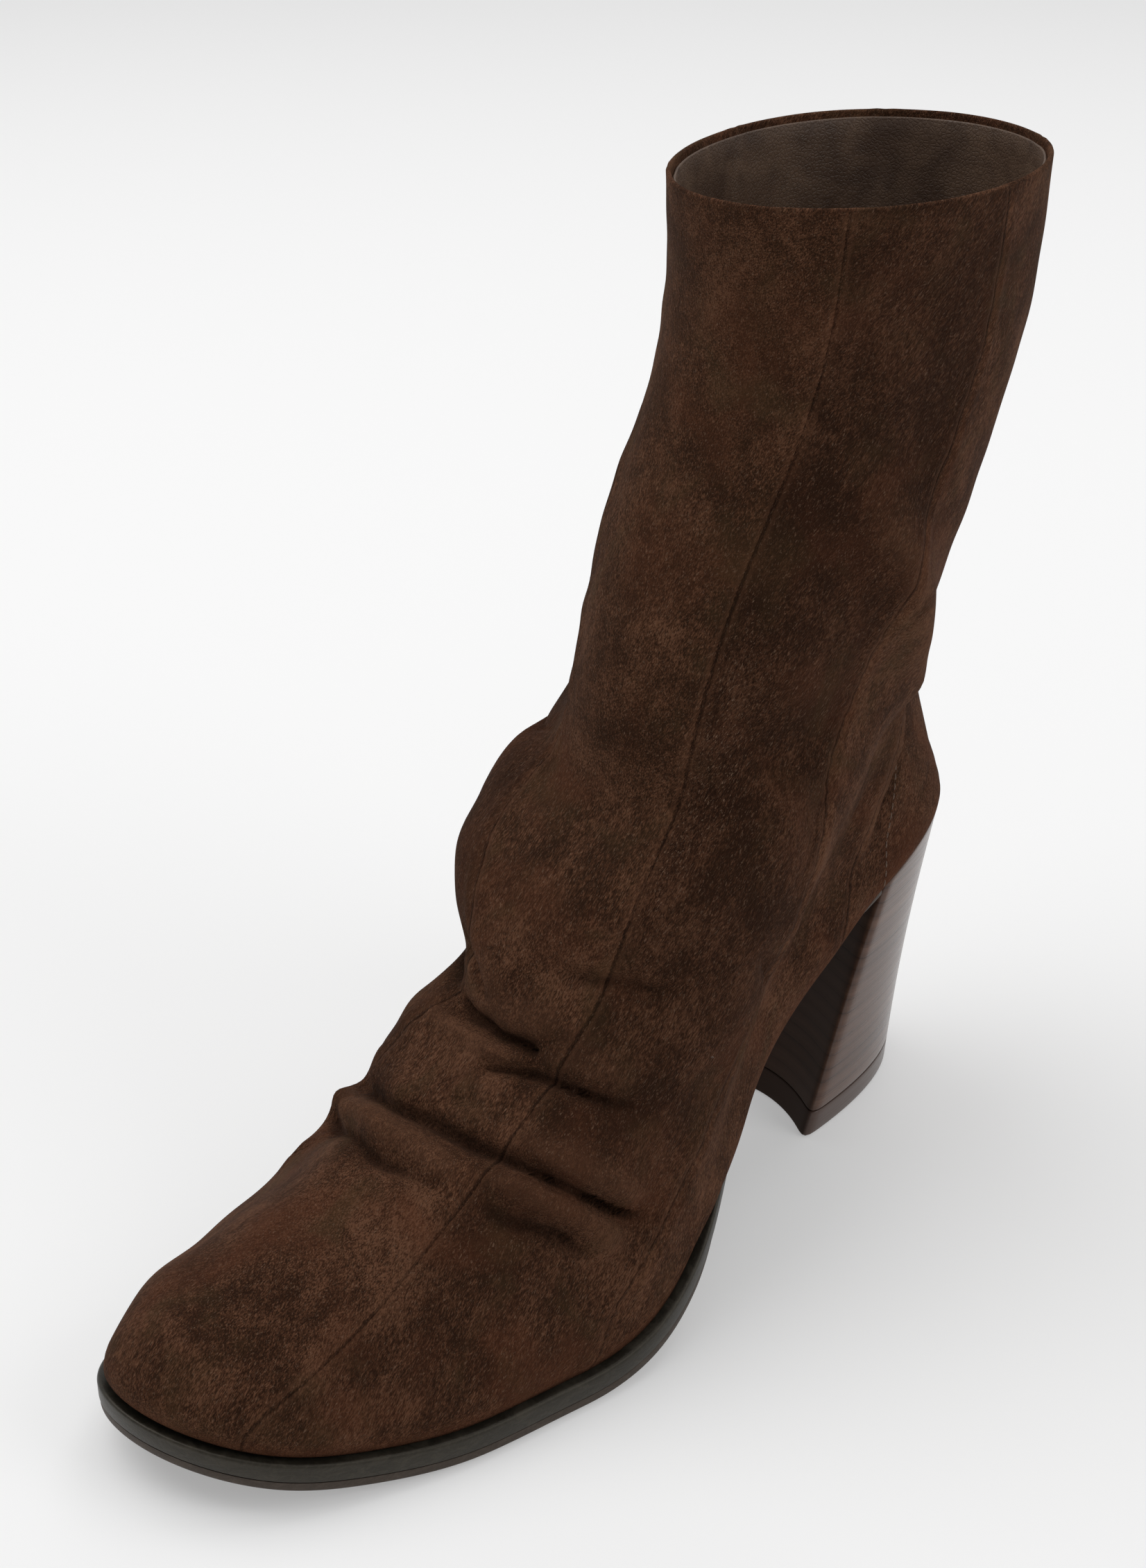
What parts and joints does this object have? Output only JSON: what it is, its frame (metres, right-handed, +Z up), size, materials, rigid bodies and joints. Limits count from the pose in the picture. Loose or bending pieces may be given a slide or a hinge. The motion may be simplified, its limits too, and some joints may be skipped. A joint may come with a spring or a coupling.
{
  "type": "ankle boot",
  "caption": "Left ankle boot in dark brown suede with a slack, creased pull-on shaft, a thin edged sole and a high flared block heel. Stands empty on heel and ball.",
  "frame": {"origin": "on the floor, at the middle of the heel's tread", "axes": "+Z up, -Y towards the toe, +X towards the outer (lateral) side of the left foot"},
  "size_m": [0.0939, 0.265, 0.2321],
  "materials": {
    "suede": "brushed suede nap",
    "insole_leather": "smooth lining leather",
    "rand": "black edge dye, satin",
    "tread": "dark brown, dull",
    "stacked_heel": "stacked layers, polished",
    "heel_tip": "dark brown, satin"
  },
  "bodies": {
    "root": {"upper": "suede", "insole": "insole_leather", "midsole": "rand", "outsole": "tread", "heel_block": "stacked_heel", "top_lift": "heel_tip"}
  },
  "joints": []
}
